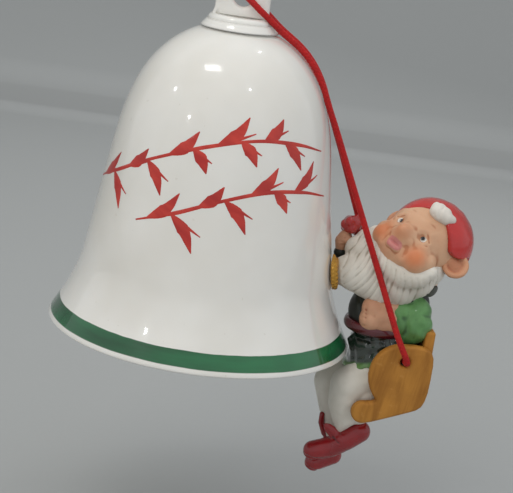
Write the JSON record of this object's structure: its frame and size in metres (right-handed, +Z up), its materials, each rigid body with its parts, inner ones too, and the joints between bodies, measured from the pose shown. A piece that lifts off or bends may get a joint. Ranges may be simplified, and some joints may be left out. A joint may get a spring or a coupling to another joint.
{
  "type": "christmas bell ornament",
  "caption": "Porcelain bell with a flared lip, a hanging loop and a clapper; a painted gnome sits beside it in a small swing seat on a cord looped through the crown.",
  "frame": {"origin": "centre of the hang hole in the loop at the bell's crown", "axes": "+Z up along the bell's axis, +X from the bell towards the hanging figure, -Y towards the side with the painted brushwork"},
  "size_m": [0.0783, 0.058, 0.0948],
  "materials": {
    "white_glaze": "clear gloss glaze with a green painted rim and red brushwork",
    "steel_wire": "drawn wire",
    "bead_glaze": "gloss",
    "red_cord": "fine braid",
    "seat_brown": "matt stain with brushed grain",
    "trouser_cream": "matt bisque",
    "shoe_red": "satin enamel",
    "jacket_green": "mottled enamel",
    "collar_grey": "gloss enamel",
    "belt_red": "gloss enamel",
    "skin": "matt bisque with a rosy wash",
    "brush_wood": "matt",
    "brush_red": "gloss enamel",
    "beard_white": "matt bisque",
    "gold_glaze": "bright fired gold",
    "cap_red": "satin enamel"
  },
  "bodies": {
    "bell": {"bell_shell": "white_glaze", "crown_collar": "white_glaze", "crown_loop": "white_glaze", "clapper_eyelet": "steel_wire"},
    "clapper_link": {"clapper_ring": "steel_wire"},
    "clapper": {"clapper_rod": "steel_wire", "clapper_bead": "bead_glaze", "clapper_stop": "steel_wire"},
    "cord_loop": {"cord_in_loop": "red_cord"},
    "cord_top": {"cord_over_shoulder": "red_cord"},
    "cord_strands": {"cord_near": "red_cord", "cord_far": "red_cord", "knot_near": "red_cord", "knot_far": "red_cord"},
    "figure": {"seat_side_near": "seat_brown", "seat_side_far": "seat_brown", "seat_board": "seat_brown", "seat_back": "seat_brown", "trouser_near": "trouser_cream", "trouser_far": "trouser_cream", "shoe_near": "shoe_red", "shoe_far": "shoe_red", "jacket_skirt": "jacket_green", "jacket": "jacket_green", "belt": "belt_red", "collar": "collar_grey", "sleeve_near": "jacket_green", "hand_near": "skin", "sleeve_far": "jacket_green", "hand_far": "skin", "brush_handle": "brush_wood", "brush_head": "brush_red", "beard": "beard_white", "beard_band": "gold_glaze", "head": "skin", "ear_near": "skin", "ear_far": "skin", "hair_tuft": "beard_white", "cap": "cap_red"}
  },
  "joints": [
    {"name": "clapper_sway", "type": "hinge", "parent": "bell", "child": "clapper_link", "pos_m": [0, 0, -0.0101], "axis": [1, 0, 0], "range_deg": [-15, 15]},
    {"name": "clapper_swing", "type": "hinge", "parent": "clapper_link", "child": "clapper", "pos_m": [0, 0, -0.0123], "axis": [0, 1, 0], "range_deg": [-15, 15]},
    {"name": "figure_sway", "type": "hinge", "parent": "bell", "child": "cord_loop", "pos_m": [0, 0, 0], "axis": [0, 0, 1], "range_deg": [-8, 8]},
    {"name": "cord_lift", "type": "hinge", "parent": "cord_loop", "child": "cord_top", "pos_m": [0, 0, 0], "axis": [0, -1, 0], "range_deg": [0, 35]},
    {"name": "cord_bend", "type": "hinge", "parent": "cord_top", "child": "cord_strands", "pos_m": [0.0179, 0, -0.0168], "axis": [0, -1, 0], "range_deg": [0, 20]},
    {"name": "seat_tilt", "type": "hinge", "parent": "cord_strands", "child": "figure", "pos_m": [0.0384, 0, -0.0622], "axis": [-0.0872, 0.9962, 0], "range_deg": [0, 6]}
  ]
}
